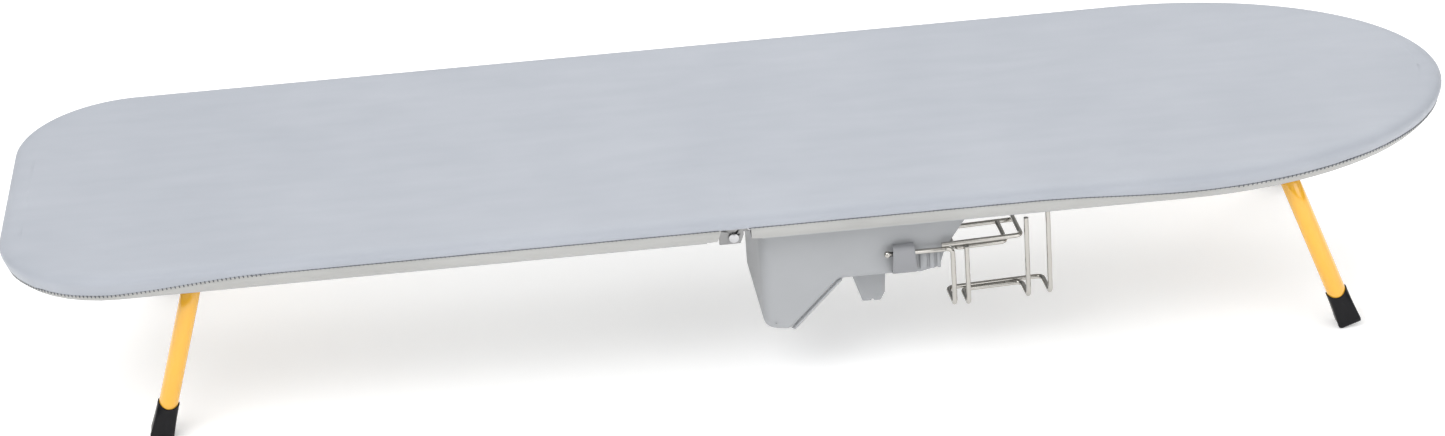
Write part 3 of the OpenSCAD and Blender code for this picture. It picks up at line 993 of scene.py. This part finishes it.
def place_camera():
    """A long lens, a little to the tail side, looking down at the board and rolled slightly."""
    yaw, tilt, roll = math.radians(2.67), math.radians(25.83), math.radians(4.23)
    distance = 3.2345
    target = Vector((-0.0155, -0.1250, EDGE_Z * MM))
    ahead = Vector((math.sin(yaw) * math.cos(tilt), math.cos(yaw) * math.cos(tilt), -math.sin(tilt)))
    right = Vector((math.cos(yaw), -math.sin(yaw), 0))
    up = right.cross(ahead)
    right, up = (math.cos(roll) * right - math.sin(roll) * up, math.sin(roll) * right + math.cos(roll) * up)
    data = bpy.data.cameras.new("camera")
    data.sensor_width = 36
    data.lens = 99.65
    data.clip_end = 50
    obj = link(bpy.data.objects.new("camera", data))
    turn = Matrix((right, up, -ahead)).transposed().to_4x4()
    obj.matrix_world = Matrix.Translation(target - ahead * distance) @ turn
    bpy.context.scene.camera = obj


def area_light(name, location, aim, size, power, color=(1, 1, 1)):
    data = bpy.data.lights.new(name, "AREA")
    data.shape = "RECTANGLE"
    data.size, data.size_y = size
    data.energy = power
    data.color = color
    obj = link(bpy.data.objects.new(name, data))
    obj.location = location
    obj.rotation_euler = (Vector(aim) - Vector(location)).to_track_quat("-Z", "Y").to_euler()


def make_stage():
    """Pale floor, white surroundings and large soft lamps."""
    n = Nodes("stage_floor", (0.90, 0.90, 0.90), 0.9)
    n.tint(n.noise(2, 2), (0.885, 0.885, 0.885), (0.905, 0.905, 0.905))
    n.set("Emission Color", (1, 1, 1, 1))
    n.set("Emission Strength", 0.32)
    floor = mesh_object("floor", [(-9000, -9000, 0), (9000, -9000, 0), (9000, 9000, 0), (-9000, 9000, 0)],
                        [(0, 1, 2, 3)], n.material, smooth=False)
    floor.location.z = -0.0005
    world = bpy.data.worlds.new("studio")
    world.use_nodes = True
    tree = world.node_tree
    background = tree.nodes["Background"]
    coords = tree.nodes.new("ShaderNodeTexCoord")
    height = tree.nodes.new("ShaderNodeSeparateXYZ")
    ramp = tree.nodes.new("ShaderNodeValToRGB")
    ramp.color_ramp.elements[0].position, ramp.color_ramp.elements[1].position = 0.10, 0.45
    ramp.color_ramp.elements[0].color, ramp.color_ramp.elements[1].color = (0.10, 0.10, 0.10, 1), (1, 1, 1, 1)
    tree.links.new(coords.outputs["Generated"], height.inputs["Vector"])
    tree.links.new(height.outputs["Z"], ramp.inputs["Fac"])
    tree.links.new(ramp.outputs["Color"], background.inputs["Color"])
    background.inputs["Strength"].default_value = 0.95
    bpy.context.scene.world = world
    area_light("key", (-1.4, -1.8, 2.6), (0, 0, 0.1), (2.4, 1.6), 46)
    area_light("fill", (1.8, -2.4, 1.0), (0.1, 0, 0.1), (2.0, 1.4), 16)
    area_light("back", (0.6, 2.2, 2.0), (0, 0, 0.15), (2.4, 1.2), 22)
    bpy.context.scene.view_settings.view_transform = "Standard"


# ---------------------------------------------------------------- the object


def build_soft_goods():
    for half, body in (("tail", "tail_half"), ("nose", "nose_half")):
        pad = felt_pad(half)
        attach(pad, body)
        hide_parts(half + "_pad")

        cloth = cover_top(half)
        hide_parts(half + "_cover_top")
        if half == "tail":
            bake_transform(cloth)
        else:
            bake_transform(cloth)

        band = cover_band(half)
        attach(band, body)
        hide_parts(half + "_cover_band")
        for piece in seam_thread(half):
            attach(piece, body)

        net = expanded_mesh(half)
        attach(net, body)
        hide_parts(half + "_mesh")


def build_feet():
    for half in ("tail", "nose"):
        for side, word in ((FRONT, "front"), (BACK, "back")):
            shoe = rubber_foot(half, side)
            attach(shoe, half + "_leg")
            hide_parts(f"{half}_foot_{word}")


def build_fittings():
    shell = holster_shell()
    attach(shell, "nose_half")
    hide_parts("holster_tub")
    for piece in holster_trim():
        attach(piece, "nose_half")
    clip = rack_clip()
    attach(clip, "nose_half")
    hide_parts("rack_sleeve")
    for half in ("tail", "nose"):
        for side, word in ((FRONT, "front"), (BACK, "back")):
            pin = rivet(half, side)
            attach(pin, half + "_half")
            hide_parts(f"{half}_fold_pin_{word}")


place_camera()
make_stage()
finish_cad_nodes()
build_soft_goods()
build_feet()
build_fittings()
